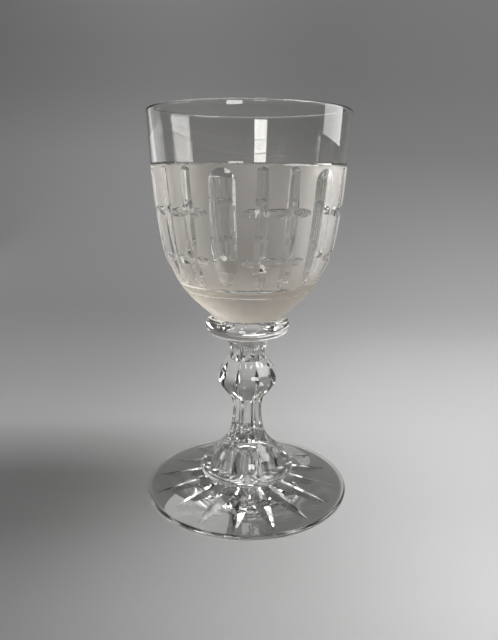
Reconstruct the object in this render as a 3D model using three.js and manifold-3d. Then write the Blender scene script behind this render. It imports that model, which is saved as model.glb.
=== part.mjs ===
import * as THREE from 'three';
import { mergeVertices } from 'three/addons/utils/BufferGeometryUtils.js';
import Module from 'manifold-3d';

// A wine goblet of clear glass with a frosted, wheel-cut bowl, in millimetres with +Z up.
// The origin is the middle of the foot's underside. Turns are in degrees from the front (-Y) towards +X.

// Foot: a disc with a flat underside and a rounded rim, whose top sweeps up to its seat.
// The sweep leaves both ends along lines that meet at the flare's radius and height.
const footRadius = 45;
const footEdge = 2.4;
const footHeight = 9;
const footFlareRadius = 30;
const footFlareHeight = 4;
const footSeatLand = 0.7;

// Star of mitre cuts in the foot's underside, from the middle to the flat ring that the goblet stands on
const starRays = 16;
const starTurn = -6.5;
const standingRing = 3.2;
const starRayWidth = 6.2;
const starRayDepth = 1.9;

// Foot collar: the flat round pad that the leg stands on, with a brim past the leg's corners
const footCollarBrim = 3;
const footCollarEdge = 2.8;
const footCollarHeight = 3.6;
const footCollarLand = 0.4;

// Stem: a leg, a knop and a neck with the same number of sides, measured to the middle of a side
const stemSides = 8;
const legHeight = 31;
const legFootRadius = 15.2;
const legBellRadius = 13.6;
const legBellHeight = 4.6;
const legFlareRadius = 9.3;
const legFlareHeight = 10;
const legShankRadius = 7.2;
const legShankHeight = 15;
const legWaistRadius = 6;
const legWaistHeight = 25;
const legFluteRadius = 14;
const knopHeight = 17.8;
const knopRadius = 11.9;
const knopWaistHeight = 9.6;
const knopWaistLength = 5.4;
const knopLowerRadius = 6.6;
const knopLowerSlopeRadius = 9.2;
const knopLowerSlopeHeight = 3.7;
const knopUpperRadius = 7.5;
const knopUpperSlopeRadius = 9.9;
const knopUpperSlopeHeight = 15;
const neckHeight = 9.9;
const neckWaistRadius = 7.3;
const neckTopRadius = 9.2;

// Bowl collar: a flattened ring with a rounded edge, a coned underside and a brim past the bowl's seat
const bowlCollarBrim = 3.9;
const bowlCollarHeight = 8.7;
const bowlCollarEdge = 7.6;
const bowlCollarLand = 0.6;
const bowlCollarNeckLand = 0.4;

// Bowl: outside radius and height above its seat, from the seat up to the rim
const bowlSeatRadius = 14;
const cupHeight = 8;
const cupRadius = 23;
const ringHeight = 15.8;
const ringRadius = 29;
const lowerRowHeight = 27.3;
const lowerRowRadius = 34.4;
const upperRowHeight = 44.8;
const upperRowRadius = 37.3;
const frostLineHeight = 61.5;
const frostLineRadius = 38.85;
const bowlHeight = 82;
const rimRadius = 40;

// Bowl: level thickness of the wall at those heights, and the floor's thickness on the axis
const floorThickness = 7;
const ringWall = 5.2;
const lowerRowWall = 3.6;
const upperRowWall = 2.9;
const frostLineWall = 2.4;
const rimWall = 1.8;

// Fine rings cut round the bowl, at the frost line and under the flutes
const ringCutWidth = 0.9;
const ringCutDepth = 0.35;

// Cuts on the bowl: each panel lies between two wide flutes, and narrow flutes and cross cuts divide it.
// A land is the uncut glass between a cut's end and the ring or the flute that it stops short of.
// The fuller a cross cut is, the nearer to its ends it keeps its width.
const panels = 6;
const wideFluteTurn = -14;
const wideFluteWidth = 9.8;
const wideFluteDepth = 0.95;
const wideFluteTopLand = 1.3;
const wideFluteBottomLand = 1.8;
const wideFluteTopRun = 5;
const wideFluteBottomRun = 15;
const narrowFlutes = 2;
const narrowFluteWidth = 4.8;
const narrowFluteDepth = 0.75;
const narrowFluteTopLand = 0.4;
const narrowFluteBottomLand = 0.4;
const narrowFluteTopRun = 4;
const narrowFluteBottomRun = 4;
const crossCutWidth = 3.6;
const crossCutDepth = 0.65;
const crossCutLand = 0.7;
const crossCutFullness = 6;

// How far a cutting edge stands clear of the glass
const wheelClearance = 0.6;

// How finely round and curved faces are divided
const bowlSides = 60;
const footSides = 64;
const collarSides = 48;
const footEdgeSteps = 6;
const footFlareSteps = 4;
const bowlCollarEdgeSteps = 8;
const legSteps = 12;
const legFluteFacets = 6;
const knopSteps = 7;
const neckSteps = 6;
const cupSteps = 4;
const cutWallSteps = 9;
const clearBandSteps = 4;
const lipSteps = 6;
const insideSteps = 9;
const fluteSteps = 12;
const wideFluteFacets = 4;
const crossCutSteps = 8;
const starRaySteps = 8;
const searchSteps = 40;

const wasm = await Module();
wasm.setup();

// Turns a closed geometry into a solid that can be cut
function toSolid(geometry) {
  const bare = geometry.clone();
  bare.deleteAttribute('normal');
  bare.deleteAttribute('uv');
  const merged = mergeVertices(bare);
  const corners = merged.getIndex().array;
  const triVerts = [];
  for (let i = 0; i < corners.length; i += 3) {
    const [a, b, c] = corners.slice(i, i + 3);
    if (a !== b && b !== c && c !== a) {
      triVerts.push(a, b, c);
    }
  }
  return new wasm.Manifold(new wasm.Mesh({
    numProp: 3,
    vertProperties: new Float32Array(merged.getAttribute('position').array),
    triVerts: new Uint32Array(triVerts),
  }));
}

// Turns a cut solid back into a geometry
function toGeometry(solid) {
  const mesh = solid.getMesh();
  const geometry = new THREE.BufferGeometry();
  geometry.setAttribute('position', new THREE.BufferAttribute(mesh.vertProperties, 3));
  geometry.setIndex(new THREE.BufferAttribute(mesh.triVerts, 1));
  geometry.computeVertexNormals();
  return geometry;
}

// Revolves an outline of radius and height about the Z axis
function revolve(outline, sides, turn = 0) {
  const geometry = new THREE.LatheGeometry(outline, sides, turn);
  geometry.rotateX(Math.PI / 2);
  return geometry;
}

function point(radius, height) {
  return new THREE.Vector2(radius, height);
}

// Points of a half-round edge that bulges outwards, from its lower to its upper end
function roundEdge(radius, bottom, top, steps) {
  const reach = (top - bottom) / 2;
  const edge = [];
  for (let i = 0; i <= steps; i += 1) {
    const angle = Math.PI * (i / steps - 0.5);
    edge.push(point(radius - reach + reach * Math.cos(angle), bottom + reach + reach * Math.sin(angle)));
  }
  return edge;
}

// Radius of a stem bit at an offset turn from the middle of a side, which a flute radius hollows
function facetRadius(radius, offset, fluteRadius = Infinity) {
  const across = radius * Math.tan(offset);
  return (radius + across * across / (2 * fluteRadius)) / Math.cos(offset);
}

// Revolves an outline into a stem bit with flat or hollow sides, one of which faces the front.
// The outline runs up the middle of a side.
function facetStem(outline, fluteRadius = Infinity, facets = 1) {
  const half = Math.PI / stemSides;
  const geometry = revolve(outline, stemSides * facets, half);
  const place = geometry.getAttribute('position');
  for (let i = 0; i < place.count; i += 1) {
    const radius = Math.hypot(place.getX(i), place.getY(i));
    if (radius > 0) {
      const turn = Math.atan2(place.getX(i), -place.getY(i));
      const offset = turn - 2 * half * Math.round(turn / (2 * half));
      const swell = facetRadius(radius, offset, fluteRadius) / radius;
      place.setX(i, place.getX(i) * swell);
      place.setY(i, place.getY(i) * swell);
    }
  }
  return geometry;
}

// Edge of a mitre wheel: a V whose flanks leave glass of the given roundness at the cut's width
function mitreEdge(width, depth, glassRadius) {
  const half = width / 2;
  const drop = half * half / (2 * glassRadius);
  const reach = half * (depth + wheelClearance) / (depth - drop);
  return new THREE.Shape([point(-reach, wheelClearance), point(0, -depth), point(reach, wheelClearance)]);
}

// Edge of a round wheel: a hollow curve that leaves the glass at the cut's width
function hollowEdge(width, depth, glassRadius) {
  const half = width / 2;
  const drop = half * half / (2 * glassRadius);
  const reach = half * Math.sqrt((depth + wheelClearance) / (depth - drop));
  const edge = new THREE.Shape();
  edge.moveTo(-reach, wheelClearance);
  edge.quadraticCurveTo(0, -2 * depth - wheelClearance, reach, wheelClearance);
  return edge;
}

// Tilts an edge, so that it faces a wall that leans out by the given angle
function tiltEdge(edge, lean) {
  const turned = edge.getPoints().map((p) => p.clone().rotateAround(point(0, 0), -lean));
  return new THREE.Shape(turned);
}

// Sweeps a wheel's edge along the line of a cut
function sweepCut(edge, line, steps, facets = 1) {
  const extrudePath = new THREE.CatmullRomCurve3(line);
  return new THREE.ExtrudeGeometry(edge, { steps, extrudePath, curveSegments: facets, bevelEnabled: false });
}

// How far the wheel stands off its full depth, near an end where the cut runs out
function runOut(distance, run, depth) {
  const short = Math.max(0, 1 - distance / run);
  return depth * short * short;
}

// Cuts copies of a cutter out of a solid, each turned about the Z axis
function cutRound(solid, cutter, turns) {
  let rest = solid;
  for (const turn of turns) {
    const turned = cutter.clone();
    turned.rotateZ(THREE.MathUtils.degToRad(turn - 90));
    rest = rest.subtract(toSolid(turned));
  }
  return rest;
}

function everyTurn(first, count) {
  return Array.from({ length: count }, (_, i) => first + i * 360 / count);
}

// Foot

// Radius of the leg's corners where they stand on the foot collar
const legCornerRadius = facetRadius(legFootRadius, Math.PI / stemSides, legFluteRadius);
const footCollarRadius = legCornerRadius + footCollarBrim;

function starRay() {
  const half = (footRadius - footEdge / 2 - standingRing) / 2;
  const line = [];
  for (let i = -1; i <= starRaySteps + 1; i += 1) {
    const along = 2 * i / starRaySteps - 1;
    line.push(new THREE.Vector3(half + half * along, 0, -starRayDepth * along * along));
  }
  return sweepCut(mitreEdge(starRayWidth, starRayDepth, Infinity), line, line.length - 1);
}

function footGeometry() {
  const seatRadius = footCollarRadius - footCollarEdge / 2 + footSeatLand;
  const rim = roundEdge(footRadius, 0, footEdge, footEdgeSteps);
  const sweep = new THREE.QuadraticBezierCurve(
    rim.pop(),
    point(footFlareRadius, footFlareHeight),
    point(seatRadius, footHeight),
  );
  const outline = [point(0, 0), ...rim, ...sweep.getPoints(footFlareSteps), point(0, footHeight)];
  const disc = toSolid(revolve(outline, footSides));
  return toGeometry(cutRound(disc, starRay(), everyTurn(starTurn, starRays)));
}

function footCollarGeometry() {
  return revolve([
    point(0, 0),
    ...roundEdge(footCollarRadius, 0, footCollarEdge, footEdgeSteps),
    point(legCornerRadius + footCollarLand, footCollarHeight),
    point(0, footCollarHeight),
  ], collarSides);
}

// Stem

// The leg swells like a bell above its foot, and flares in to its waist
function legGeometry() {
  const side = new THREE.SplineCurve([
    point(legFootRadius, 0),
    point(legBellRadius, legBellHeight),
    point(legFlareRadius, legFlareHeight),
    point(legShankRadius, legShankHeight),
    point(legWaistRadius, legWaistHeight),
    point(knopLowerRadius, legHeight),
  ]);
  const outline = [point(0, 0), ...side.getPoints(legSteps), point(0, legHeight)];
  return facetStem(outline, legFluteRadius, legFluteFacets);
}

// The knop's outline leaves its widest place upright, and slopes to the leg and the neck
function knopGeometry() {
  const waist = point(knopRadius, knopWaistHeight);
  const lower = new THREE.CubicBezierCurve(
    point(knopLowerRadius, 0),
    point(knopLowerSlopeRadius, knopLowerSlopeHeight),
    point(knopRadius, knopWaistHeight - knopWaistLength / 2),
    waist,
  );
  const upper = new THREE.CubicBezierCurve(
    waist,
    point(knopRadius, knopWaistHeight + knopWaistLength / 2),
    point(knopUpperSlopeRadius, knopUpperSlopeHeight),
    point(knopUpperRadius, knopHeight),
  );
  const side = [...lower.getPoints(knopSteps), ...upper.getPoints(knopSteps).slice(1)];
  return facetStem([point(0, 0), ...side, point(0, knopHeight)]);
}

function neckGeometry() {
  const waist = new THREE.QuadraticBezierCurve(
    point(knopUpperRadius, 0), point(neckWaistRadius, neckHeight / 2), point(neckTopRadius, neckHeight));
  return facetStem([point(0, 0), ...waist.getPoints(neckSteps), point(0, neckHeight)]);
}

function bowlCollarGeometry() {
  const neckLand = facetRadius(neckTopRadius, Math.PI / stemSides) + bowlCollarNeckLand;
  const radius = bowlSeatRadius + bowlCollarBrim;
  const edgeBottom = bowlCollarHeight - bowlCollarEdge;
  return revolve([
    point(0, 0),
    point(neckLand, 0),
    ...roundEdge(radius, edgeBottom, bowlCollarHeight, bowlCollarEdgeSteps).slice(1, -1),
    point(bowlSeatRadius + bowlCollarLand, bowlCollarHeight),
    point(0, bowlCollarHeight),
  ], collarSides);
}

// Bowl

const bowlSide = new THREE.SplineCurve([
  point(bowlSeatRadius, 0),
  point(cupRadius, cupHeight),
  point(ringRadius, ringHeight),
  point(lowerRowRadius, lowerRowHeight),
  point(upperRowRadius, upperRowHeight),
  point(frostLineRadius, frostLineHeight),
  point(rimRadius, bowlHeight - rimWall / 2),
]);

const bowlInside = new THREE.SplineCurve([
  point(0, floorThickness),
  point(ringRadius - ringWall, ringHeight),
  point(lowerRowRadius - lowerRowWall, lowerRowHeight),
  point(upperRowRadius - upperRowWall, upperRowHeight),
  point(frostLineRadius - frostLineWall, frostLineHeight),
  point(rimRadius - rimWall, bowlHeight - rimWall / 2),
]);

// Where a side curve passes a height, and the way that its face looks there
function sideAt(curve, height) {
  let low = 0;
  let high = 1;
  for (let i = 0; i < searchSteps; i += 1) {
    const middle = (low + high) / 2;
    if (curve.getPoint(middle).y < height) {
      low = middle;
    } else {
      high = middle;
    }
  }
  const tangent = curve.getTangent(low);
  return { place: curve.getPoint(low), out: point(tangent.y, -tangent.x) };
}

function outsideAt(height) {
  return sideAt(bowlSide, height).place;
}

// Three points of a fine ring cut at a height
function ringCut(height) {
  const lower = outsideAt(height - ringCutWidth / 2);
  const upper = outsideAt(height + ringCutWidth / 2);
  const { place, out } = sideAt(bowlSide, height);
  return [lower, place.addScaledVector(out, -ringCutDepth), upper];
}

// Points of the bowl's side between two heights, both left out
function sideBetween(bottom, top, steps) {
  const side = [];
  for (let i = 1; i < steps; i += 1) {
    side.push(outsideAt(bottom + (top - bottom) * i / steps));
  }
  return side;
}

function bowlOutline() {
  const lipTop = new THREE.EllipseCurve(
    rimRadius - rimWall / 2, bowlHeight - rimWall / 2, rimWall / 2, rimWall / 2, 0, Math.PI);
  return [
    point(0, 0),
    outsideAt(0),
    ...sideBetween(0, ringHeight, cupSteps),
    ...ringCut(ringHeight),
    ...sideBetween(ringHeight, frostLineHeight, cutWallSteps),
    ...ringCut(frostLineHeight),
    ...sideBetween(frostLineHeight, bowlHeight - rimWall / 2, clearBandSteps),
    ...lipTop.getPoints(lipSteps),
    ...bowlInside.getSpacedPoints(insideSteps).reverse().slice(1),
  ];
}

// A flute down the bowl's side, at the +X side of the axis
function flute(edge, depth, bottom, top, bottomRun, topRun, facets) {
  const line = [];
  for (let i = -1; i <= fluteSteps + 1; i += 1) {
    const height = bottom + (top - bottom) * i / fluteSteps;
    const { place, out } = sideAt(bowlSide, height);
    const lift = runOut(height - bottom, bottomRun, depth) + runOut(top - height, topRun, depth);
    place.addScaledVector(out, lift);
    line.push(new THREE.Vector3(place.x, 0, place.y));
  }
  return sweepCut(edge, line, line.length - 1, facets);
}

// The turn from the middle of a panel to the edge of its wide flutes, at a radius
function halfPanel(radius) {
  return Math.PI / panels - wideFluteWidth / 2 / radius;
}

// Turns of a panel's narrow flutes from its middle, in degrees, which leave panes of equal width
function narrowOffsets() {
  const uncut = 2 * halfPanel(upperRowRadius) * upperRowRadius - narrowFlutes * narrowFluteWidth;
  const pitch = (uncut / (narrowFlutes + 1) + narrowFluteWidth) / upperRowRadius;
  return Array.from({ length: narrowFlutes }, (_, i) => (
    THREE.MathUtils.radToDeg((i - (narrowFlutes - 1) / 2) * pitch)));
}

// A lens-shaped cut across a panel, at the +X side of the axis
function crossCut(height) {
  const { place, out } = sideAt(bowlSide, height);
  const edge = tiltEdge(mitreEdge(crossCutWidth, crossCutDepth, Infinity), Math.atan2(-out.y, out.x));
  const spread = halfPanel(place.x) - crossCutLand / place.x;
  const line = [];
  for (let i = -1; i <= crossCutSteps + 1; i += 1) {
    const along = 1 - 2 * i / crossCutSteps;
    const radius = place.x + crossCutDepth * Math.abs(along) ** crossCutFullness;
    line.push(new THREE.Vector3(
      radius * Math.cos(spread * along), radius * Math.sin(spread * along), place.y));
  }
  return sweepCut(edge, line, line.length - 1);
}

function bowlGeometry() {
  const panelTurns = everyTurn(wideFluteTurn + 180 / panels, panels);
  const wideFlute = flute(
    hollowEdge(wideFluteWidth, wideFluteDepth, upperRowRadius), wideFluteDepth,
    ringHeight + wideFluteBottomLand, frostLineHeight - wideFluteTopLand,
    wideFluteBottomRun, wideFluteTopRun, wideFluteFacets);
  const narrowFlute = flute(
    mitreEdge(narrowFluteWidth, narrowFluteDepth, upperRowRadius), narrowFluteDepth,
    ringHeight + narrowFluteBottomLand, frostLineHeight - narrowFluteTopLand,
    narrowFluteBottomRun, narrowFluteTopRun, 1);
  let glass = toSolid(revolve(bowlOutline(), bowlSides));
  glass = cutRound(glass, wideFlute, everyTurn(wideFluteTurn, panels));
  for (const offset of narrowOffsets()) {
    glass = cutRound(glass, narrowFlute, panelTurns.map((turn) => turn + offset));
  }
  glass = cutRound(glass, crossCut(lowerRowHeight), panelTurns);
  glass = cutRound(glass, crossCut(upperRowHeight), panelTurns);
  return toGeometry(glass);
}

// Finishes and assembly

const clearGlass = new THREE.MeshStandardMaterial({
  color: 0xdde2e1, roughness: 0.04, metalness: 0, transparent: true, opacity: 0.4,
});
const frostedGlass = new THREE.MeshStandardMaterial({
  color: 0xcfcac3, roughness: 0.55, metalness: 0, transparent: true, opacity: 0.8,
});

const goblet = new THREE.Group();
goblet.name = 'goblet';
let seat = 0;

// Sets the next bit of glass on the flat top of the one below it
function stack(name, geometry, height, material) {
  const bit = new THREE.Mesh(geometry, material);
  bit.name = name;
  bit.position.z = seat;
  goblet.add(bit);
  seat += height;
}

stack('foot', footGeometry(), footHeight, clearGlass);
stack('foot_collar', footCollarGeometry(), footCollarHeight, clearGlass);
stack('leg', legGeometry(), legHeight, clearGlass);
stack('knop', knopGeometry(), knopHeight, clearGlass);
stack('neck', neckGeometry(), neckHeight, clearGlass);
stack('bowl_collar', bowlCollarGeometry(), bowlCollarHeight, clearGlass);
stack('bowl', bowlGeometry(), bowlHeight, frostedGlass);

export default goblet;
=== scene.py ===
import math

import bpy
import numpy as np
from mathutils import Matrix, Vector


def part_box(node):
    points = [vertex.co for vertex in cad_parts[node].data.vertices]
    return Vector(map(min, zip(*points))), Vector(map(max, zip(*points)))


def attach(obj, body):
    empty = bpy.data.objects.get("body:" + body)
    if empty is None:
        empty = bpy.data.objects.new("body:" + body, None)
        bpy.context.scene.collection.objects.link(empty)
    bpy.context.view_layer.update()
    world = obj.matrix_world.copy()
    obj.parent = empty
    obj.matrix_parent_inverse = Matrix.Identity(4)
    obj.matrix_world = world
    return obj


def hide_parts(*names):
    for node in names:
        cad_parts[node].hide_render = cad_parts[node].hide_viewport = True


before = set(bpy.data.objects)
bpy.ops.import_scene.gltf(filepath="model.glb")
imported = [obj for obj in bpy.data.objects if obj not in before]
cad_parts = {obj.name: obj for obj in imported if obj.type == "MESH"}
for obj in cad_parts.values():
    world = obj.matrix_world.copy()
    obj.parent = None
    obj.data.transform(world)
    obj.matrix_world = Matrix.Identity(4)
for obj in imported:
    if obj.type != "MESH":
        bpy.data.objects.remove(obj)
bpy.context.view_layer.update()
mm = 0.001
fullTurn = 2 * math.pi
print("frame loaded:", sorted(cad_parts))


# Bottoms, tops and reach of the bits of glass, from the frame
seat = {name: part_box(name)[0].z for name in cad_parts}
top = {name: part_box(name)[1].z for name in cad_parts}
reach = {name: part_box(name)[1].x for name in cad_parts}


# Camera, at the photograph's height, tilt and distance

cameraView = {
    "place": (0.56 * mm, -242.4 * mm, 137.5 * mm),
    "tiltDown": 15.38,  # degrees, as is the roll
    "roll": 0.45,
    "lens": 32.75,
    "sensor": 36,
    "shiftUp": 0.025,  # the photograph is cropped above the middle of its lens
    "nearest": 10 * mm,
}


def makeCamera():
    data = bpy.data.cameras.new("camera")
    data.lens = cameraView["lens"]
    data.sensor_width = cameraView["sensor"]
    data.shift_y = cameraView["shiftUp"]
    data.clip_start = cameraView["nearest"]
    camera = bpy.data.objects.new("camera", data)
    camera.location = cameraView["place"]
    camera.rotation_euler = (math.radians(90 - cameraView["tiltDown"]), 0, 0)
    camera.rotation_euler.rotate_axis("Z", math.radians(cameraView["roll"]))
    bpy.context.scene.collection.objects.link(camera)
    bpy.context.scene.camera = camera


makeCamera()
print("camera set")


# Node helpers

mixFirst, mixSecond, mixResult = 6, 7, 2  # the colour sockets of a Mix node, whose names aren't unique


def addNode(tree, kind, place=(0, 0), **values):
    node = tree.nodes.new(kind)
    node.location = place
    for name, value in values.items():
        setattr(node, name, value)
    return node


# Links a socket to another one, or sets it to a plain value
def feed(tree, socket, value):
    if isinstance(value, bpy.types.NodeSocket):
        tree.links.new(value, socket)
    else:
        socket.default_value = value


def addNoise(tree, place, coords, scale, detail):
    noise = addNode(tree, "ShaderNodeTexNoise", place)
    noise.inputs["Detail"].default_value = detail
    feed(tree, noise.inputs["Vector"], coords)
    feed(tree, noise.inputs["Scale"], scale)
    return noise


def mapRange(tree, place, value, fromRange, toRange=(0, 1), blend="LINEAR"):
    node = addNode(tree, "ShaderNodeMapRange", place, interpolation_type=blend)
    feed(tree, node.inputs["Value"], value)
    for name, end in zip(("From Min", "From Max", "To Min", "To Max"), (*fromRange, *toRange)):
        feed(tree, node.inputs[name], end)
    return node.outputs["Result"]


def colourRamp(tree, place, value, tones):
    ramp = addNode(tree, "ShaderNodeValToRGB", place)
    stops = ramp.color_ramp.elements
    while len(stops) < len(tones):
        stops.new(0.5)
    for stop, (position, colour) in zip(stops, tones):
        stop.position = position
        stop.color = colour
    feed(tree, ramp.inputs["Fac"], value)
    return ramp.outputs["Color"]


def mixColours(tree, place, first, second, factor=1, blend="MIX"):
    mix = addNode(tree, "ShaderNodeMix", place, data_type="RGBA", blend_type=blend)
    feed(tree, mix.inputs["Factor"], factor)
    feed(tree, mix.inputs[mixFirst], first)
    feed(tree, mix.inputs[mixSecond], second)
    return mix.outputs[mixResult]


def addBump(tree, place, height, depth):
    bump = addNode(tree, "ShaderNodeBump", place)
    bump.inputs["Distance"].default_value = depth
    feed(tree, bump.inputs["Height"], height)
    return bump.outputs["Normal"]


def newMaterial(name):
    material = bpy.data.materials.new(name)
    material.use_nodes = True
    tree = material.node_tree
    tree.nodes.clear()
    output = addNode(tree, "ShaderNodeOutputMaterial", (600, 0))
    return material, tree, output


def newGroup(name, inputs, outputs):
    group = bpy.data.node_groups.new(name, "ShaderNodeTree")
    for socketName, value in inputs.items():
        socket = group.interface.new_socket(socketName, in_out="INPUT", socket_type="NodeSocketFloat")
        socket.default_value = value
    for socketName in outputs:
        group.interface.new_socket(socketName, in_out="OUTPUT", socket_type="NodeSocketFloat")
    start = addNode(group, "NodeGroupInput", (-700, 0))
    end = addNode(group, "NodeGroupOutput", (500, 0))
    return group, start, end


def placeGroup(tree, group, place, values):
    node = addNode(tree, "ShaderNodeGroup", place, node_tree=group)
    for name, value in values.items():
        node.inputs[name].default_value = value
    return node


# Handling: soft smudges and slow ripples of hand-made glass, in object space

handlingLook = {
    "inputs": {"Smudge Size": 90.0, "Cleanest": 0.0, "Dullest": 0.03, "Ripple Size": 60.0},
    "smudgeDetail": 4,
    "smudgeBreakUp": 0.6,
    "smudgeRange": (0.45, 0.75),  # of the noise, from the cleanest to the dullest
    "rippleDetail": 1,
}


def makeHandlingGroup():
    group, start, end = newGroup("handlingMarks", handlingLook["inputs"], ["Roughness", "Ripple"])
    given = start.outputs
    coords = addNode(group, "ShaderNodeTexCoord", (-700, 300)).outputs["Object"]
    smudge = addNoise(group, (-450, 250), coords, given["Smudge Size"], handlingLook["smudgeDetail"])
    smudge.inputs["Roughness"].default_value = handlingLook["smudgeBreakUp"]
    dullness = (given["Cleanest"], given["Dullest"])
    roughness = mapRange(group, (-200, 250), smudge.outputs["Fac"], handlingLook["smudgeRange"], dullness)
    feed(group, end.inputs["Roughness"], roughness)
    ripple = addNoise(group, (-450, -150), coords, given["Ripple Size"], handlingLook["rippleDetail"])
    feed(group, end.inputs["Ripple"], ripple.outputs["Fac"])
    return group


handlingMarks = makeHandlingGroup()


# Materials

glassLook = {
    "clear": (0.91, 0.905, 0.885, 1),
    "index": 1.54,
    "shadowTint": (0.78, 0.785, 0.775, 1),
    "starTint": (0.3, 0.305, 0.3, 1),  # a mitre cut throws most of the light aside
    "rippleDepth": 0.012 * mm,
    "clearMarks": {"Dullest": 0.03, "Ripple Size": 60},
    "cutMarks": {"Dullest": 0.06, "Ripple Size": 240},
    "starMarks": {"Dullest": 0.85, "Ripple Size": 240},  # left satin by the wheel
}
frostLook = {
    "tones": [(0.35, (0.485, 0.458, 0.425, 1)), (0.65, (0.54, 0.51, 0.473, 1))],  # over the clouds' noise
    "cloudSize": 70,
    "cloudDetail": 5,
    # painted light: the frost's colour where the wall turns away
    "edge": (0.99, 0.94, 0.88, 1),  # where the frosted wall turns away
    "paintedEdgeLightRange": (0.03, 0.28),
    # painted shade: darker and warmer under the lower ring, a little darker just over it, none higher up
    "cupShadeTint": (0.6, 0.563, 0.518, 1),  # under the lower ring
    "lowShadeTint": (0.75, 0.74, 0.73, 1),  # just over it, where the wall is thick
    "unshadedTint": (1, 1, 1, 1),
    "cupTop": 15.8 * mm,
    "paintedShadeTop": 42 * mm,
    "cupBlend": 0.02,
    "shadowTint": (0.34, 0.33, 0.31, 1),
    "roughness": 0.55,
    "clarity": 0.75,
    "grain": 5200.0,
    "grainDetail": 2,
    "grainDepth": 0.006 * mm,
}


# Light passes a glass surface on its way to a lamp, a little weakened
def finishGlass(tree, output, shader, tint):
    through = addNode(tree, "ShaderNodeBsdfTransparent", (150, -250))
    through.inputs["Color"].default_value = tint
    path = addNode(tree, "ShaderNodeLightPath", (150, 300))
    blend = addNode(tree, "ShaderNodeMixShader", (400, 0))
    feed(tree, blend.inputs["Fac"], path.outputs["Is Shadow Ray"])
    feed(tree, blend.inputs[1], shader.outputs["BSDF"])
    feed(tree, blend.inputs[2], through.outputs["BSDF"])
    feed(tree, output.inputs["Surface"], blend.outputs["Shader"])


def makeClearGlass(name, handling, tint):
    material, tree, output = newMaterial(name)
    marks = placeGroup(tree, handlingMarks, (-500, 0), handling)
    shader = addNode(tree, "ShaderNodeBsdfPrincipled", (0, 0))
    shader.inputs["Base Color"].default_value = glassLook["clear"]
    shader.inputs["IOR"].default_value = glassLook["index"]
    shader.inputs["Transmission Weight"].default_value = 1
    feed(tree, shader.inputs["Roughness"], marks.outputs["Roughness"])
    ripples = addBump(tree, (-250, -200), marks.outputs["Ripple"], glassLook["rippleDepth"])
    feed(tree, shader.inputs["Normal"], ripples)
    finishGlass(tree, output, shader, tint)
    return material


# Clouds in the frost, and painted light that makes the frost paler where the wall turns away
def frostCloudsAndEdgeLight(tree, coords):
    cloud = addNoise(tree, (-700, 200), coords, frostLook["cloudSize"], frostLook["cloudDetail"])
    tone = colourRamp(tree, (-450, 200), cloud.outputs["Fac"], frostLook["tones"])
    turning = addNode(tree, "ShaderNodeLayerWeight", (-700, 500)).outputs["Facing"]
    # painted light, mixed in where the wall turns away
    edge = mapRange(tree, (-450, 500), turning, frostLook["paintedEdgeLightRange"], blend="SMOOTHSTEP")
    return mixColours(tree, (-200, 300), tone, frostLook["edge"], edge)


# Painted shade: the frost grows darker and warmer towards the bowl's seat
def seatwardPaintedShade(tree, coords):
    apart = addNode(tree, "ShaderNodeSeparateXYZ", (-700, 700))
    feed(tree, apart.inputs["Vector"], coords)
    wall = (seat["bowl"], seat["bowl"] + frostLook["paintedShadeTop"])
    rise = mapRange(tree, (-450, 700), apart.outputs["Z"], wall)
    ringPlace = frostLook["cupTop"] / frostLook["paintedShadeTop"]
    shadeTints = [(ringPlace - frostLook["cupBlend"], frostLook["cupShadeTint"]), (ringPlace, frostLook["lowShadeTint"])]
    return colourRamp(tree, (-300, 700), rise, shadeTints + [(1, frostLook["unshadedTint"])])


def makeFrostedGlass():
    material, tree, output = newMaterial("frostedGlass")
    coords = addNode(tree, "ShaderNodeTexCoord", (-900, 0)).outputs["Object"]
    shader = addNode(tree, "ShaderNodeBsdfPrincipled", (0, 0))
    shader.inputs["Roughness"].default_value = frostLook["roughness"]
    shader.inputs["IOR"].default_value = glassLook["index"]
    shader.inputs["Transmission Weight"].default_value = frostLook["clarity"]
    # the frost's clouds and painted edge light, times the painted shade towards the seat
    tone, tint = frostCloudsAndEdgeLight(tree, coords), seatwardPaintedShade(tree, coords)
    feed(tree, shader.inputs["Base Color"], mixColours(tree, (-50, 300), tone, tint, blend="MULTIPLY"))
    grain = addNoise(tree, (-700, -200), coords, frostLook["grain"], frostLook["grainDetail"])
    grainBump = addBump(tree, (-250, -200), grain.outputs["Fac"], frostLook["grainDepth"])
    feed(tree, shader.inputs["Normal"], grainBump)
    finishGlass(tree, output, shader, frostLook["shadowTint"])
    return material


# Where two bits are fused there is no surface for light to notice
def makeFusedSeam():
    material, tree, output = newMaterial("fusedSeam")
    through = addNode(tree, "ShaderNodeBsdfTransparent", (300, 0))
    feed(tree, output.inputs["Surface"], through.outputs["BSDF"])
    return material


finishes = {
    "clear": makeClearGlass("clearGlass", glassLook["clearMarks"], glassLook["shadowTint"]),
    "cut": makeClearGlass("polishedCut", glassLook["cutMarks"], glassLook["shadowTint"]),
    "star": makeClearGlass("starCut", glassLook["starMarks"], glassLook["starTint"]),
    "frost": makeFrostedGlass(),
    "seam": makeFusedSeam(),
}
finishOrder = list(finishes)
print("materials made:", finishOrder)


# Patches: points, faces, the finish of each face, and a region whose borders are sharp edges

def onTurn(radius, turn, height):
    radius, turn, height = np.broadcast_arrays(radius, turn, height)
    return np.stack([radius * np.sin(turn), -radius * np.cos(turn), height], axis=-1)


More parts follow.
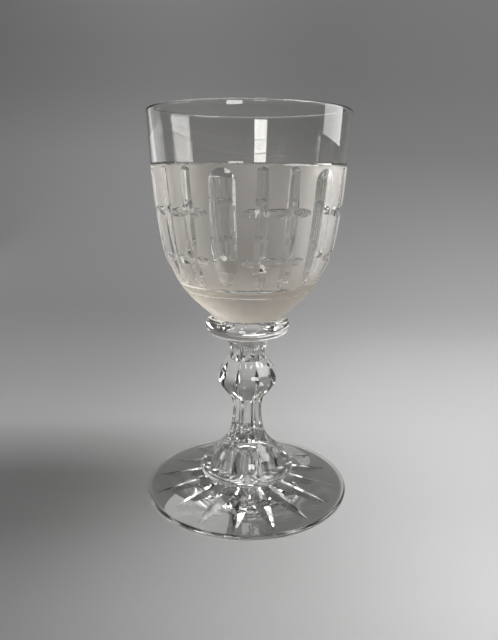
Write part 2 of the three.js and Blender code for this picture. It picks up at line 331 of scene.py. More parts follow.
# Rings of radius and height round the axis, joined by bands; a zero radius closes the patch at the axis
def spinPatch(rings, turns, bandFinish):
    points = []
    faces = []
    finish = []
    starts = []
    count = len(turns)
    for radius, height in rings:
        starts.append(len(points))
        if np.ndim(radius) == 0 and radius == 0:
            points.append((0, 0, float(height)))
        else:
            points.extend(map(tuple, onTurn(radius, turns, height)))
    sizes = np.diff(starts + [len(points)])
    for band, name in enumerate(bandFinish):
        low, high = starts[band], starts[band + 1]
        for column in range(count):
            after = (column + 1) % count
            if sizes[band] == 1:
                faces.append((low, high + after, high + column))
            elif sizes[band + 1] == 1:
                faces.append((low + column, low + after, high))
            else:
                faces.append((low + column, low + after, high + after, high + column))
            finish.append(name)
    return {"points": np.array(points), "faces": faces, "finish": finish, "region": [0] * len(faces)}


def edgesOf(triangles):
    pairs = np.concatenate([triangles[:, [0, 1]], triangles[:, [1, 2]], triangles[:, [2, 0]]])
    edges, inverse = np.unique(np.sort(pairs, axis=1), axis=0, return_inverse=True)
    return edges, inverse.reshape(3, -1).T


# Where a field is zero on each edge, found by halving
def crossings(spots, edges, field, halvings=24):
    low = spots[edges[:, 0]]
    high = spots[edges[:, 1]]
    start = np.sign(field(low))
    near = np.zeros(len(edges))
    far = np.ones(len(edges))
    for _ in range(halvings):
        middle = (near + far) / 2
        same = np.sign(field(low + (high - low) * middle[:, None])) == start
        near = np.where(same, middle, near)
        far = np.where(same, far, middle)
    return (near + far) / 2


# Cuts each triangle at the new spots on its sides, where it has any
def cutTriangles(triangles, middles):
    count = (middles >= 0).sum(axis=1)
    parts = [triangles[count == 0]]
    for side in range(3):
        a, b, c = (triangles[:, (side + i) % 3] for i in range(3))
        ab, bc, ca = (middles[:, (side + i) % 3] for i in range(3))
        one = (count == 1) & (ab >= 0)
        parts += [np.stack(corners, 1)[one] for corners in ((a, ab, c), (ab, b, c))]
        two = (count == 2) & (ca < 0)
        parts += [np.stack(corners, 1)[two] for corners in ((ab, b, bc), (a, ab, bc), (a, bc, c))]
        if side == 0:
            three = ((a, ab, ca), (ab, b, bc), (ca, bc, c), (ab, bc, ca))
            parts += [np.stack(corners, 1)[count == 3] for corners in three]
    return np.concatenate(parts)


# Splits a flat triangle net along the line where a field is zero, so that a sharp edge can lie there
def splitAlong(net, field, inside=None, snap=0.3, zero=1e-12):
    spots, triangles, fixed = net
    value = field(spots)
    value[np.abs(value) < zero] = 0
    edges, sides = edgesOf(triangles)
    wanted = np.ones(len(edges), bool)
    if inside is not None:
        wanted[:] = False
        wanted[sides[inside(spots[triangles].mean(axis=1))].ravel()] = True

    def crossed():
        hit = np.flatnonzero(wanted & (value[edges[:, 0]] * value[edges[:, 1]] < 0))
        share = crossings(spots, edges[hit], field)
        start, end = spots[edges[hit, 0]], spots[edges[hit, 1]]
        return hit, share, start + (end - start) * share[:, None]

    hit, share, place = crossed()
    near, far = share < snap, share > 1 - snap  # a free spot close to the line moves onto it
    movers = np.concatenate([edges[hit[near], 0], edges[hit[far], 1]])
    goals = np.concatenate([place[near], place[far]])
    order = np.argsort(-np.concatenate([share[near], 1 - share[far]]))
    order = order[~fixed[movers[order]]]
    spots[movers[order]] = goals[order]
    value[movers[order]] = 0
    fixed[movers[order]] = True

    hit, _, place = crossed()
    fresh = np.full(len(edges), -1)
    fresh[hit] = len(spots) + np.arange(len(hit))
    spots = np.concatenate([spots, place])
    fixed = np.concatenate([fixed, np.ones(len(place), bool)])
    return spots, cutTriangles(triangles, fresh[sides]), fixed


# A flat net of triangles over turns and rows, with its border kept in place
def flatNet(turns, rows):
    across, along = np.meshgrid(turns, rows)
    spots = np.stack([across.ravel(), along.ravel()], axis=1)
    wide = len(turns)
    column, row = np.meshgrid(np.arange(wide - 1), np.arange(len(rows) - 1))
    a = (row * wide + column).ravel()
    b, c, d = a + 1, a + wide + 1, a + wide
    even = ((row + column) % 2 == 0).ravel()
    first = np.where(even[:, None], np.stack([a, b, c], 1), np.stack([a, b, d], 1))
    second = np.where(even[:, None], np.stack([a, c, d], 1), np.stack([b, c, d], 1))
    border = np.zeros((len(rows), wide), bool)
    border[[0, -1], :] = True
    border[:, [0, -1]] = True
    return spots, np.concatenate([first, second]), border.ravel()


# An edge is sharp where the faces bend far enough or where two regions meet
def markSharp(mesh, region, sharpAngle):
    loopEdge = np.zeros(len(mesh.loops), np.int32)
    mesh.loops.foreach_get("edge_index", loopEdge)
    sizes = np.zeros(len(mesh.polygons), np.int32)
    mesh.polygons.foreach_get("loop_total", sizes)
    normals = np.zeros(len(mesh.polygons) * 3, np.float32)
    mesh.polygons.foreach_get("normal", normals)
    normals = normals.reshape(-1, 3)
    owner = np.repeat(np.arange(len(sizes)), sizes)
    order = np.argsort(loopEdge, kind="stable")
    edgeOf, faceOf = loopEdge[order], owner[order]
    pair = np.flatnonzero(edgeOf[1:] == edgeOf[:-1])
    one, two = faceOf[pair], faceOf[pair + 1]
    bend = np.arccos(np.clip((normals[one] * normals[two]).sum(axis=1), -1, 1))
    sharp = np.zeros(len(mesh.edges), bool)
    sharp[edgeOf[pair]] = (bend > sharpAngle) | (region[one] != region[two])
    attribute = mesh.attributes.new("sharp_edge", "BOOLEAN", "EDGE")
    attribute.data.foreach_set("value", sharp)
    print(mesh.name, "open edges:", len(mesh.edges) - len(np.unique(edgeOf[pair])))


# Joins patches into one closed piece, welds their borders and marks the sharp edges
def makePiece(name, patches, sharpAngle=28, weldStep=1e-7):
    points = np.concatenate([patch["points"] for patch in patches])
    faces = []
    finish = []
    region = []
    offset = 0
    for patch in patches:
        faces += [tuple(int(i) + offset for i in face) for face in patch["faces"]]
        finish += list(patch["finish"])
        region += list(patch["region"])
        offset += len(patch["points"])
    steps = np.round(points / weldStep).astype(np.int64)
    _, keep, weld = np.unique(steps, axis=0, return_index=True, return_inverse=True)
    weld = weld.ravel()
    welded = [[int(weld[i]) for i in face] for face in faces]
    mesh = bpy.data.meshes.new(name)
    mesh.from_pydata(points[keep].tolist(), [], welded)
    for finishName in finishOrder:
        mesh.materials.append(finishes[finishName])
    mesh.polygons.foreach_set("material_index", [finishOrder.index(f) for f in finish])
    mesh.update()
    mesh.shade_smooth()
    markSharp(mesh, np.array(region), math.radians(sharpAngle))
    piece = bpy.data.objects.new(name, mesh)
    bpy.context.scene.collection.objects.link(piece)
    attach(piece, "root")
    print(name, "has", len(mesh.polygons), "faces")
    return piece


# Finishes of a bit of glass that is fused at its bottom and its top
def fusedEnds(rings):
    return ["seam"] + ["clear"] * (len(rings) - 3) + ["seam"]


# Stem outlines: eight flat or hollow sides, measured to the middle of a side, with softened corners

stem = {
    "sides": 8,
    "cornerRounding": 0.1 * mm,
    "columnsPerSide": 24,
}


def stemTurns():
    half = math.pi / stem["sides"]
    steps = np.linspace(-1, 1, stem["columnsPerSide"] + 1)[:-1]
    oneSide = half * np.sin(steps * math.pi / 2)
    return np.concatenate([2 * half * side + oneSide for side in range(stem["sides"])])


def softLeast(one, other):
    soft = stem["cornerRounding"]
    return -soft * np.logaddexp(-one / soft, -other / soft)


def sideRadius(radius, turn, fluteRadius=math.inf):
    half = math.pi / stem["sides"]
    offset = turn - 2 * half * np.round(turn / (2 * half))

    def fromMiddle(angle):
        across = radius * np.tan(angle)
        return (radius + across ** 2 / (2 * fluteRadius)) / np.cos(angle)

    return softLeast(fromMiddle(offset), fromMiddle(2 * half - np.abs(offset)))


# A smooth curve through places, in which each place's slope runs parallel to its neighbours
def smoothCurve(places, steps):
    places = np.array(places, float)
    last = len(places) - 1
    line = []
    for i in range(last):
        before, a, b, after = (places[min(max(k, 0), last)] for k in (i - 1, i, i + 1, i + 2))
        t = np.linspace(0, 1, steps, endpoint=False)[:, None]
        leave, arrive = (b - before) / 2, (after - a) / 2
        line.append(a * (2 * t ** 3 - 3 * t ** 2 + 1) + leave * (t ** 3 - 2 * t ** 2 + t)
                    + b * (3 * t ** 2 - 2 * t ** 3) + arrive * (t ** 3 - t ** 2))
    return np.concatenate(line + [places[-1:]])


def bezier(places, steps):
    places = np.array(places, float)
    line = []
    for share in np.linspace(0, 1, steps + 1):
        level = places
        while len(level) > 1:
            level = level[:-1] * (1 - share) + level[1:] * share
        line.append(tuple(level[0]))
    return line


def roundEdge(radius, bottom, topHeight, steps):
    bulge = (topHeight - bottom) / 2
    angles = np.linspace(-math.pi / 2, math.pi / 2, steps + 1)
    return [(radius - bulge + bulge * math.cos(a), bottom + bulge + bulge * math.sin(a)) for a in angles]


# Even rows between two places of an outline, the first left out
def rowsBetween(start, end, steps):
    return [(start[0] + (end[0] - start[0]) * i / steps, start[1] + (end[1] - start[1]) * i / steps)
            for i in range(1, steps + 1)]


# Leg

legSize = {
    "footRadius": 15.2 * mm,
    "fluteRadius": 14 * mm,  # of the flutes where the leg stands
    "hollow": 0.95,  # of the flutes higher up, as a share of the leg's radius
    # radius and height above the foot collar
    "bell": (13.6 * mm, 4.6 * mm),
    "flare": (9.3 * mm, 10 * mm),
    "shank": (7.2 * mm, 15 * mm),
    "waist": (6 * mm, 25 * mm),
    "topRadius": 6.6 * mm,
    "rows": 14,
}


# The leg's flutes keep their shape up the leg, inside the corners that the wheel left
def legSide(radius, turns):
    half = math.tan(math.pi / stem["sides"])
    corner = radius + (radius * half) ** 2 / (2 * legSize["fluteRadius"])
    middle = corner / (1 + half ** 2 / (2 * legSize["hollow"]))
    return sideRadius(middle, turns, legSize["hollow"] * middle)


def makeLeg():
    turns = stemTurns()
    base = seat["leg"]
    places = [(legSize["footRadius"], 0)]
    places += [legSize[name] for name in ("bell", "flare", "shank", "waist")]
    places += [(legSize["topRadius"], top["leg"] - base)]
    rings = [(0.0, base)]
    for radius, height in smoothCurve(places, legSize["rows"]):
        rings.append((legSide(radius, turns), base + height))
    rings += [(sideRadius(legSize["topRadius"], turns), top["leg"]), (0.0, top["leg"])]
    leg = makePiece("legGlass", [spinPatch(rings, turns, fusedEnds(rings))])
    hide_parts("leg")


# Knop

knopSize = {
    "radius": 11.9 * mm,
    "waistHeight": 9.6 * mm,
    "waistLength": 5.4 * mm,
    # radius and height of the slopes to the leg and the neck
    "lowerSlope": (9.2 * mm, 3.7 * mm),
    "upperSlope": (9.9 * mm, 15 * mm),
    "topRadius": 7.5 * mm,
    "hollow": 26 * mm,
    "rows": 24,
}


def makeKnop():
    turns = stemTurns()
    base = seat["knop"]
    end = (knopSize["topRadius"], top["knop"] - base)
    wide, waist, half = knopSize["radius"], knopSize["waistHeight"], knopSize["waistLength"] / 2
    lower = [(legSize["topRadius"], 0), knopSize["lowerSlope"], (wide, waist - half), (wide, waist)]
    upper = [(wide, waist), (wide, waist + half), knopSize["upperSlope"], end]
    outline = bezier(lower, knopSize["rows"]) + bezier(upper, knopSize["rows"])[1:]
    rings = [(0.0, base)]
    rings += [(sideRadius(radius, turns, knopSize["hollow"]), base + level) for radius, level in outline]
    rings += [(0.0, top["knop"])]
    knop = makePiece("knopGlass", [spinPatch(rings, turns, fusedEnds(rings))])
    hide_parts("knop")


# Neck

neckSize = {
    "topRadius": 9.2 * mm,
    # the round outside, which the eight flutes are cut into, so that each ends in an arch
    "roundFoot": 9.2 * mm,
    "roundWaist": (8 * mm, 5 * mm),
    "fluteFoot": 7.05 * mm,
    "fluteWaist": [(6.8 * mm, 4 * mm), (6.9 * mm, 7 * mm)],
    "fluteTop": 9.9 * mm,
    "hollow": 9 * mm,
    "rows": 40,
    "curveSteps": 200,
}


def makeNeck():
    turns = stemTurns()
    base = seat["neck"]
    height = top["neck"] - base
    fluteEnds = [(neckSize["fluteFoot"], 0)] + neckSize["fluteWaist"] + [(neckSize["fluteTop"], height)]
    roundEnds = [(neckSize["roundFoot"], 0), neckSize["roundWaist"], (neckSize["topRadius"], height)]
    flute = np.array(bezier(fluteEnds, neckSize["curveSteps"]))
    outside = np.array(bezier(roundEnds, neckSize["curveSteps"]))
    rings = [(0.0, base)]
    for level in np.linspace(0, height, neckSize["rows"] + 1):
        cut = sideRadius(np.interp(level, flute[:, 1], flute[:, 0]), turns, neckSize["hollow"])
        uncut = np.interp(level, outside[:, 1], outside[:, 0])
        rings.append((softLeast(cut, uncut), base + level))
    rings += [(0.0, top["neck"])]
    neck = makePiece("neckGlass", [spinPatch(rings, turns, fusedEnds(rings))])
    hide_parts("neck")


# Bowl collar

bowlCollarSize = {
    "edge": 7.6 * mm,
    "land": 0.6 * mm,
    "neckLand": 0.4 * mm,
    "rows": 28,
    "coveredRows": 3,  # of the round edge, where the cone under the collar meets it
    "coneRows": 6,
}


def makeBowlCollar():
    turns = stemTurns()
    base, height = seat["bowl_collar"], top["bowl_collar"] - seat["bowl_collar"]
    neckEnd = sideRadius(neckSize["fluteTop"], turns, neckSize["hollow"])
    neckLine = softLeast(neckEnd, neckSize["topRadius"])
    landEdge = bowlSize["seatRadius"] + bowlCollarSize["land"]
    bottom = height - bowlCollarSize["edge"]
    edge = roundEdge(reach["bowl_collar"], bottom, height, bowlCollarSize["rows"])
    edge = [place for place in edge[bowlCollarSize["coveredRows"]:] if place[0] > landEdge]
    under = (float(neckLine.max()) + bowlCollarSize["neckLand"], 0)
    outline = [under] + rowsBetween(under, edge[0], bowlCollarSize["coneRows"]) + edge[1:]
    outline += [(landEdge, height)]
    rings = [(0.0, base), (neckLine, base)]
    rings += [(radius, base + level) for radius, level in outline]
    rings += [(bowlSize["seatRadius"], top["bowl_collar"]), (0.0, top["bowl_collar"])]
    collar = makePiece("bowlCollarGlass", [spinPatch(rings, turns, fusedEnds(rings))])
    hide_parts("bowl_collar")


# Foot collar

footCollarSize = {"edge": 2.8 * mm, "land": 0.4 * mm, "rows": 18, "slopeRows": 6}


def makeFootCollar():
    turns = stemTurns()
    base, height = seat["foot_collar"], top["foot_collar"] - seat["foot_collar"]
    legLine = legSide(legSize["footRadius"], turns)
    landEdge = float(legLine.max()) + footCollarSize["land"]
    outline = roundEdge(reach["foot_collar"], 0, footCollarSize["edge"], footCollarSize["rows"])
    outline += rowsBetween(outline[-1], (landEdge, height), footCollarSize["slopeRows"])
    rings = [(0.0, base)]
    rings += [(radius, base + level) for radius, level in outline]
    rings += [(legLine, top["foot_collar"]), (0.0, top["foot_collar"])]
    collar = makePiece("footCollarGlass", [spinPatch(rings, turns, fusedEnds(rings))])
    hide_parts("foot_collar")


# Foot with its star of mitre cuts

footSize = {
    "edge": 2.4 * mm,
    "edgeRows": 16,
    "seatLand": 0.7 * mm,
    "flare": (30 * mm, 4 * mm),
    "flareRows": 30,
    "rays": 16,
    "starTurn": -6.5,
    "standingRing": 3.2 * mm,
    "rayWidth": 6.2 * mm,
    "rayDepth": 1.9 * mm,
    "columnsPerRay": 24,
    "rowStep": 0.6 * mm,
    "middle": 2 * mm,
}


def starDepth(spots):
    turn, radius = spots[:, 0], spots[:, 1]
    tip = reach["foot"] - footSize["edge"] / 2 - footSize["standingRing"]
    pitch = fullTurn / footSize["rays"]
    offset = turn - math.radians(footSize["starTurn"])
    offset = offset - pitch * np.round(offset / pitch)
    across = np.abs(radius * np.sin(offset)) / (footSize["rayWidth"] / 2)
    along = 2 * radius * np.cos(offset) / tip - 1
    return footSize["rayDepth"] * (1 - across - along ** 2)


# The flat underside with the rays cut into it, each flank a region of its own
def starPatch(turns, nudge=1e-6):
    flat = reach["foot"] - footSize["edge"] / 2
    count = round((flat - footSize["middle"]) / footSize["rowStep"])
    rows = np.linspace(footSize["middle"], flat, count + 1)
    spots, triangles, _ = splitAlong(flatNet(turns, rows), starDepth)
    middle = spots[triangles].mean(axis=1)
    pitch = fullTurn / footSize["rays"]
    flank = np.floor((middle[:, 0] - turns[0]) / (pitch / 2) + nudge).astype(int)
    inside = starDepth(middle) > 0
    return {
        "points": onTurn(spots[:, 1], spots[:, 0], np.maximum(starDepth(spots), 0)),
        "faces": triangles,
        "finish": np.where(inside, "star", "clear"),
        "region": np.where(inside, 1 + flank, 0),
    }


def makeFoot():
    count = footSize["rays"] * footSize["columnsPerRay"]
    turns = math.radians(footSize["starTurn"]) + np.linspace(0, fullTurn, count + 1)
    ringTurns = turns[:-1]
    height = top["foot"]
    hubSpots = np.stack([ringTurns, np.full(count, footSize["middle"])], 1)
    hubRing = (footSize["middle"], np.maximum(starDepth(hubSpots), 0))
    hub = spinPatch([(0.0, 0.0), hubRing], ringTurns, ["star"])
    edge = roundEdge(reach["foot"], 0, footSize["edge"], footSize["edgeRows"])
    padLine = reach["foot_collar"] - footCollarSize["edge"] / 2
    seatEdge = (padLine + footSize["seatLand"], height)
    slope = bezier([edge[-1], footSize["flare"], seatEdge], footSize["flareRows"])
    rings = edge + slope[1:] + [(padLine, height), (0.0, height)]
    upper = spinPatch(rings, ringTurns, ["clear"] * (len(rings) - 2) + ["seam"])
    foot = makePiece("footGlass", [hub, starPatch(turns), upper])
    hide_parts("foot")


# Bowl

bowlSize = {
    "seatRadius": 14 * mm,
    # outside places, as height above the seat and radius
    "cup": (8 * mm, 23 * mm),
    "ring": (15.8 * mm, 29 * mm),
    "lowerRow": (27.3 * mm, 34.4 * mm),
    "upperRow": (44.8 * mm, 37.3 * mm),
    "frostLine": (61.5 * mm, 38.85 * mm),
    # level thickness of the wall at those places
    "floor": 7 * mm,
    "ringWall": 5.2 * mm,
    "lowerRowWall": 3.6 * mm,
    "upperRowWall": 2.9 * mm,
    "frostLineWall": 2.4 * mm,
    "rimWall": 1.8 * mm,
    "ringCutWidth": 0.9 * mm,
    "ringCutDepth": 0.35 * mm,
    # a finer line below the lower ring
    "fineLineDrop": 3.2 * mm,
    "fineLineWidth": 0.4 * mm,
    "fineLineDepth": 0.1 * mm,
    # fineness of the mesh
    "curveSteps": 400,
    "columnsPerPanel": 60,
    "rowStep": 0.65 * mm,
    "cupRows": 24,
    "ringRows": 6,
    "bandRows": 18,
    "lipRows": 16,
    "insideRows": 90,
}
# pairs give the lower and the upper end
cutSize = {
    "panels": 6,
    "wideTurn": -14.0,
    "wideWidth": 9.8 * mm,
    "wideDepth": 0.95 * mm,
    "wideLands": (1.8 * mm, 1.3 * mm),
    "wideRuns": (15 * mm, 5 * mm),
    "narrowWidth": 4.8 * mm,
    "narrowDepth": 0.75 * mm,
    "narrowLands": (0.55 * mm, 0.5 * mm),
    "narrowRuns": (3 * mm, 1.5 * mm),
    "narrowTaper": 0.2,
    "crossWidth": 3.6 * mm,
    "crossDepth": 0.65 * mm,
    "crossLand": 0.7 * mm,
    "crossFullness": 6,
}


def bowlCurves():
    size = bowlSize
    stations = [size["cup"], size["ring"], size["lowerRow"], size["upperRow"], size["frostLine"]]
    lip = top["bowl"] - seat["bowl"] - size["rimWall"] / 2
    outside = [(size["seatRadius"], 0)] + [(r, h) for h, r in stations] + [(reach["bowl"], lip)]
    walls = [size["ringWall"], size["lowerRowWall"], size["upperRowWall"], size["frostLineWall"]]
    inside = [(0, size["floor"])] + [(r - wall, h) for (h, r), wall in zip(stations[1:], walls)]
    inside += [(reach["bowl"] - size["rimWall"], lip)]
    return smoothCurve(outside, size["curveSteps"]), smoothCurve(inside, size["curveSteps"])


bowlOutside, bowlInside = bowlCurves()
bowlSlope = np.gradient(bowlOutside[:, 0], bowlOutside[:, 1])


def outsideRadius(height):
    return np.interp(height, bowlOutside[:, 1], bowlOutside[:, 0])


def outsideSlope(height):
    return np.interp(height, bowlOutside[:, 1], bowlSlope)


# The bowl's outside with a depth of glass taken off, square to the wall
def bowlWall(turn, height, depth):
    slope = outsideSlope(height)
    square = np.sqrt(1 + slope ** 2)
    radius = outsideRadius(height) - depth / square
    return onTurn(radius, turn, seat["bowl"] + height + depth * slope / square)


# How far a flute's wheel has lifted out towards its two ends
def runOut(height, lands, runs):
    bottom = bowlSize["ring"][0] + lands[0]
    end = bowlSize["frostLine"][0] - lands[1]
    low = np.maximum(0, 1 - (height - bottom) / runs[0])
    high = np.maximum(0, 1 - (end - height) / runs[1])
    return low ** 2 + high ** 2


def halfPanel(radius):
    return math.pi / cutSize["panels"] - cutSize["wideWidth"] / 2 / radius


def wideOffset(turn):
    pitch = fullTurn / cutSize["panels"]
    offset = turn - math.radians(cutSize["wideTurn"])
    return offset - pitch * np.round(offset / pitch)


def panelOffset(turn):
    return wideOffset(turn + math.pi / cutSize["panels"])


def wideDepth(spots):
    turn, height = spots[:, 0], spots[:, 1]
    across = wideOffset(turn) * outsideRadius(height) / (cutSize["wideWidth"] / 2)
    lift = runOut(height, cutSize["wideLands"], cutSize["wideRuns"])
    return cutSize["wideDepth"] * (1 - across ** 2 - lift)


# Distance from the valley of the nearer narrow flute
def narrowPlace(spots):
    radius = bowlSize["upperRow"][1]
    pitch = (2 * halfPanel(radius) * radius - 2 * cutSize["narrowWidth"]) / 3 + cutSize["narrowWidth"]
    offset = panelOffset(spots[:, 0])
    offset = offset - np.where(offset > 0, 1, -1) * pitch / 2 / radius
    return offset * outsideRadius(spots[:, 1])


def narrowDepth(spots):
    across = narrowPlace(spots) / (cutSize["narrowWidth"] / 2)
    upper, end = bowlSize["upperRow"][0], bowlSize["frostLine"][0]
    taper = cutSize["narrowTaper"] * np.maximum(0, (spots[:, 1] - upper) / (end - upper))
    lift = runOut(spots[:, 1], cutSize["narrowLands"], cutSize["narrowRuns"])
    return cutSize["narrowDepth"] * (1 - np.abs(across) - taper - lift)


# Distance up the wall from the nearer row of cross cuts, and that row's radius
def crossPlace(spots):
    rows = np.array([bowlSize["lowerRow"], bowlSize["upperRow"]])
    height = spots[:, 1]
    row = rows[(np.abs(height - rows[1, 0]) < np.abs(height - rows[0, 0])).astype(int)]
    stretch = np.sqrt(1 + outsideSlope(row[:, 0]) ** 2)
    return (height - row[:, 0]) * stretch, row[:, 1]


def crossDepth(spots):
    rise, radius = crossPlace(spots)
    along = panelOffset(spots[:, 0]) / (halfPanel(radius) - cutSize["crossLand"] / radius)
    across = rise / (cutSize["crossWidth"] / 2)
    return cutSize["crossDepth"] * (1 - across ** 2 - np.abs(along) ** cutSize["crossFullness"])


def cutDepth(spots):
    return np.maximum(np.maximum(wideDepth(spots), narrowDepth(spots)), crossDepth(spots))


# The bowl's wall between its two fine rings, with every cut's edges and valleys as real edges
def cutWall(turns, bottom, end):
    rows = np.linspace(bottom, end, round((end - bottom) / bowlSize["rowStep"]) + 1)

    def inCut(spots):
        return cutDepth(spots) > 0

    def inPanelCut(spots):
        return inCut(spots) & (wideDepth(spots) < 0)

    def narrowLead(spots):
        return narrowDepth(spots) - crossDepth(spots)

    def narrowWins(spots):
        return inPanelCut(spots) & (narrowLead(spots) > 0)

    def crossWins(spots):
        return inPanelCut(spots) & (narrowLead(spots) <= 0)

    net = splitAlong(flatNet(turns, rows), cutDepth)
    net = splitAlong(net, narrowLead, inPanelCut)
    spots, triangles, _ = splitAlong(net, narrowPlace, narrowWins)
    middle = spots[triangles].mean(axis=1)
    # regions: 0 frost, 1 wide flutes, 2 and 3 the flanks of narrow ones, 4 cross cuts
    region = inCut(middle).astype(int)
    narrow = narrowWins(middle)
    region[narrow] = np.where(narrowPlace(middle[narrow]) > 0, 2, 3)
    region[crossWins(middle)] = 4
    return {
        "points": bowlWall(spots[:, 0], spots[:, 1], np.maximum(cutDepth(spots), 0)),
        "faces": triangles,
        "finish": np.where(region > 0, "cut", "frost"),
        "region": region,
    }


def wallRing(turns, height, depth=0.0):
    points = bowlWall(turns, np.full(len(turns), height), np.full(len(turns), depth))
    return np.hypot(points[:, 0], points[:, 1]), points[:, 2]


# The plain cup from the seat up, with its fine line and the lower ring
def cupPatch(turns):
    ring, half = bowlSize["ring"][0], bowlSize["ringCutWidth"] / 2
    fine, fineHalf = ring - bowlSize["fineLineDrop"], bowlSize["fineLineWidth"] / 2
    below = np.linspace(0, fine - fineHalf, bowlSize["cupRows"])
    above = np.linspace(fine + fineHalf, ring - half, bowlSize["ringRows"])
    rings = [(0.0, seat["bowl"])]
    rings += [wallRing(turns, level) for level in below]
    rings += [wallRing(turns, fine, bowlSize["fineLineDepth"])]
    rings += [wallRing(turns, level) for level in above]
    rings += [wallRing(turns, ring, bowlSize["ringCutDepth"]), wallRing(turns, ring + half)]
    bands = ["seam"]
    for levels in (below, above):
        bands += ["frost"] * (len(levels) - 1) + ["cut"] * 2
    return spinPatch(rings, turns, bands)


# The ring over the frost, the clear band, the rim and the inside down to the middle of the floor
def bandPatch(turns):
    frostLine, half = bowlSize["frostLine"][0], bowlSize["ringCutWidth"] / 2
    lip = bowlSize["rimWall"] / 2
    bandEnd = top["bowl"] - seat["bowl"] - lip
    rings = [wallRing(turns, frostLine - half), wallRing(turns, frostLine, bowlSize["ringCutDepth"])]
    for level in np.linspace(frostLine + half, bandEnd, bowlSize["bandRows"]):
        rings.append(wallRing(turns, level))
    for angle in np.linspace(0, math.pi, bowlSize["lipRows"] + 1)[1:]:
        height = top["bowl"] - lip + lip * math.sin(angle)
        rings.append((reach["bowl"] - lip + lip * math.cos(angle), height))
    radii, heights = bowlInside[::-1].T
    length = np.concatenate([[0], np.cumsum(np.hypot(np.diff(radii), np.diff(heights)))])
    for place in np.linspace(0, length[-1], bowlSize["insideRows"])[1:-1]:
        height = seat["bowl"] + np.interp(place, length, heights)
        rings.append((np.interp(place, length, radii), height))
    rings.append((0.0, seat["bowl"] + bowlSize["floor"]))
    return spinPatch(rings, turns, ["cut"] * 2 + ["clear"] * (len(rings) - 3))


def makeBowl():
    count = cutSize["panels"] * bowlSize["columnsPerPanel"]
    start = math.radians(cutSize["wideTurn"]) + math.pi
    turns = start + np.linspace(0, fullTurn, count + 1)
    half = bowlSize["ringCutWidth"] / 2
    wall = cutWall(turns, bowlSize["ring"][0] + half, bowlSize["frostLine"][0] - half)
    bowl = makePiece("bowlGlass", [cupPatch(turns[:-1]), wall, bandPatch(turns[:-1])])
    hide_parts("bowl")


makeFoot()
makeFootCollar()
makeLeg()
makeKnop()
makeNeck()
makeBowlCollar()
makeBowl()
print("goblet built")


# Stage: a pale sweep with painted light and shade, five soft windows and a dim surround

stageLook = {
    # painted light and shade at the left and right of the goblet, with a painted shadow band left of the
    # foot, as tones from the near floor back and up, by distance in metres
    "leftPaintedShadeTones": [(0.02, 0.215), (0.07, 0.165), (0.11, 0.18), (0.17, 0.4),
                  (0.26, 0.34), (0.45, 0.265), (0.78, 0.285), (0.92, 0.225)],
    "rightPaintedLightTones": [(0.02, 0.74), (0.08, 0.64), (0.16, 0.61), (0.45, 0.36), (0.78, 0.195), (0.92, 0.175)],
    "toneStart": -0.1,
    "toneSpread": 0.12,
    # painted shadow tones of the floor under the foot, at the left and right
    "footShadowTones": (0.15, 0.125),
    "footShadowFade": 3 * mm,
    "roughness": 0.9,
    "shine": 0.2,
    "floorDrop": 0.05 * mm,  # keeps the floor clear of the foot's underside
    "halfWidth": 1.6,
    "front": -1.4,
    "bend": 0.28,
    "bendRadius": 0.25,
    "bendRows": 24,
    "height": 1.3,
    "surround": (0.05, 0.05, 0.05, 1),
}
# turn round the goblet and lean in degrees, the rest in metres
windows = {
    "rightWindow": {"turn": 101, "distance": 0.62, "bottom": 0.145, "lean": 0,
                    "width": 0.36, "height": 0.355, "level": 5.0},
    "frontWindow": {"turn": -15, "distance": 1.05, "bottom": 0.172, "lean": 0,
                    "width": 0.3, "height": 0.45, "level": 11.4},
    "leftWindow": {"turn": -128, "distance": 0.5, "bottom": 0.02, "lean": 0,
                   "width": 0.3, "height": 0.15, "level": 0.65},
    "backWindow": {"turn": -167, "distance": 0.45, "bottom": 0.36, "lean": 45,
                   "width": 0.3, "height": 0.4, "level": 2.9},
    "highWindow": {"turn": 88, "distance": 0.55, "bottom": 0.72, "lean": 52,
                   "width": 0.5, "height": 0.5, "level": 8.0},
}
lightPaths = {"max_bounces": 32, "transmission_bounces": 24, "transparent_max_bounces": 48}


def grey(shade):
    return (shade, shade, shade, 1)


def addMath(tree, place, operation, first, second):
    node = addNode(tree, "ShaderNodeMath", place, operation=operation)
    feed(tree, node.inputs[0], first)
    feed(tree, node.inputs[1], second)
    return node.outputs["Value"]


# Painted light and shade on the sweep: greys graded from left to right and from the near floor back and
# up, darker at the left of the floor and lighter at its right, with a painted shadow band left of the
# foot
def sweepPaintedShading(tree, apart):
    spread = (-stageLook["toneSpread"], stageLook["toneSpread"])
    across = mapRange(tree, (-400, 300), apart.outputs["X"], spread, blend="SMOOTHSTEP")
    rise = addMath(tree, (-600, -200), "ADD", apart.outputs["Y"], apart.outputs["Z"])
    along = addMath(tree, (-500, -200), "SUBTRACT", rise, stageLook["toneStart"])
    sides = []
    for name in ("leftPaintedShadeTones", "rightPaintedLightTones"):
        tones = [(place, grey(shade)) for place, shade in stageLook[name]]
        sides.append(colourRamp(tree, (-450, 0), along, tones))
    return mixColours(tree, (-150, 100), *sides, across)


# Painted shadow: the floor is darker under the foot, whose glass throws light aside
def underFootPaintedShadow(tree, coords, apart, sweepShading):
    away = addNode(tree, "ShaderNodeVectorMath", (-600, 500), operation="LENGTH")
    feed(tree, away.inputs[0], coords)
    fade = (reach["foot"], reach["foot"] - stageLook["footShadowFade"])
    footShadowMask = mapRange(tree, (-400, 500), away.outputs["Value"], fade, blend="SMOOTHSTEP")
    across = mapRange(tree, (-400, 700), apart.outputs["X"], (-reach["foot"], reach["foot"]))
    left, right = map(grey, stageLook["footShadowTones"])
    paintedFootShadow = mixColours(tree, (-150, 400), left, right, across)
    return mixColours(tree, (50, 300), sweepShading, paintedFootShadow, footShadowMask)


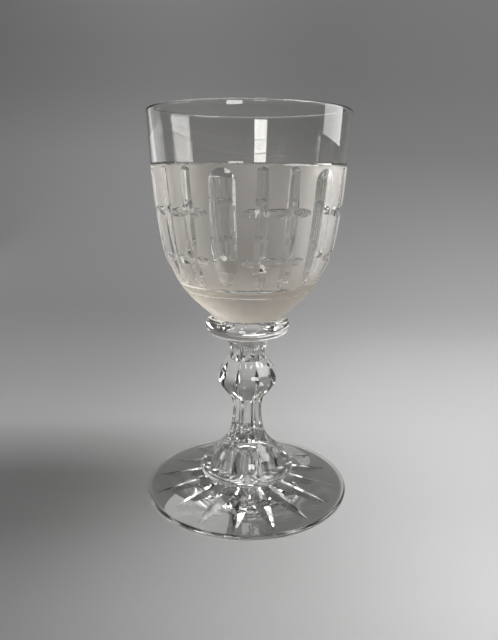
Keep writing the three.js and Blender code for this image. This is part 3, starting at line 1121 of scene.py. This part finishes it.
def makeSweepMaterial():
    material, tree, output = newMaterial("paleSweepPaintedShade")
    coords = addNode(tree, "ShaderNodeTexCoord", (-800, 0)).outputs["Object"]
    apart = addNode(tree, "ShaderNodeSeparateXYZ", (-600, 0))
    feed(tree, apart.inputs["Vector"], coords)
    shader = addNode(tree, "ShaderNodeBsdfPrincipled", (0, 0))
    shader.inputs["Roughness"].default_value = stageLook["roughness"]
    shader.inputs["Specular IOR Level"].default_value = stageLook["shine"]
    # painted light and shade of the sweep, with a painted shadow under the foot
    tone = underFootPaintedShadow(tree, coords, apart, sweepPaintedShading(tree, apart))
    feed(tree, shader.inputs["Base Color"], tone)
    feed(tree, output.inputs["Surface"], shader.outputs["BSDF"])
    return material


def makeStage():
    floor = -stageLook["floorDrop"]
    bend, radius = stageLook["bend"], stageLook["bendRadius"]
    outline = [(stageLook["front"], floor), (bend, floor)]
    for angle in np.linspace(0, math.pi / 2, stageLook["bendRows"] + 1)[1:]:
        outline.append((bend + radius * math.sin(angle), floor + radius * (1 - math.cos(angle))))
    outline.append((outline[-1][0], stageLook["height"]))
    wide = stageLook["halfWidth"]
    points = [(x, y, z) for y, z in outline for x in (-wide, wide)]
    faces = [(2 * i, 2 * i + 1, 2 * i + 3, 2 * i + 2) for i in range(len(outline) - 1)]
    mesh = bpy.data.meshes.new("sweep")
    mesh.from_pydata(points, [], faces)
    mesh.shade_smooth()
    mesh.materials.append(makeSweepMaterial())
    sweep = bpy.data.objects.new("sweep", mesh)
    bpy.context.scene.collection.objects.link(sweep)


def makeWindow(name, look):
    data = bpy.data.lights.new(name, "AREA")
    data.shape = "RECTANGLE"
    data.size = look["width"]
    data.size_y = look["height"]
    data.energy = look["level"] * math.pi * look["width"] * look["height"]
    lamp = bpy.data.objects.new(name, data)
    turn = math.radians(look["turn"])
    lamp.location = (look["distance"] * math.sin(turn), -look["distance"] * math.cos(turn),
                     look["bottom"] + look["height"] / 2)
    lamp.rotation_euler = (math.radians(90 - look["lean"]), 0, turn)
    bpy.context.scene.collection.objects.link(lamp)


def makeSurround():
    world = bpy.data.worlds.new("surround")
    world.use_nodes = True
    world.node_tree.nodes["Background"].inputs["Color"].default_value = stageLook["surround"]
    bpy.context.scene.world = world


makeStage()
for windowName, windowLook in windows.items():
    makeWindow(windowName, windowLook)
makeSurround()
scene = bpy.context.scene
scene.view_settings.view_transform = "Standard"
for bounceName, bounceCount in lightPaths.items():
    setattr(scene.cycles, bounceName, bounceCount)
print("stage and light set")
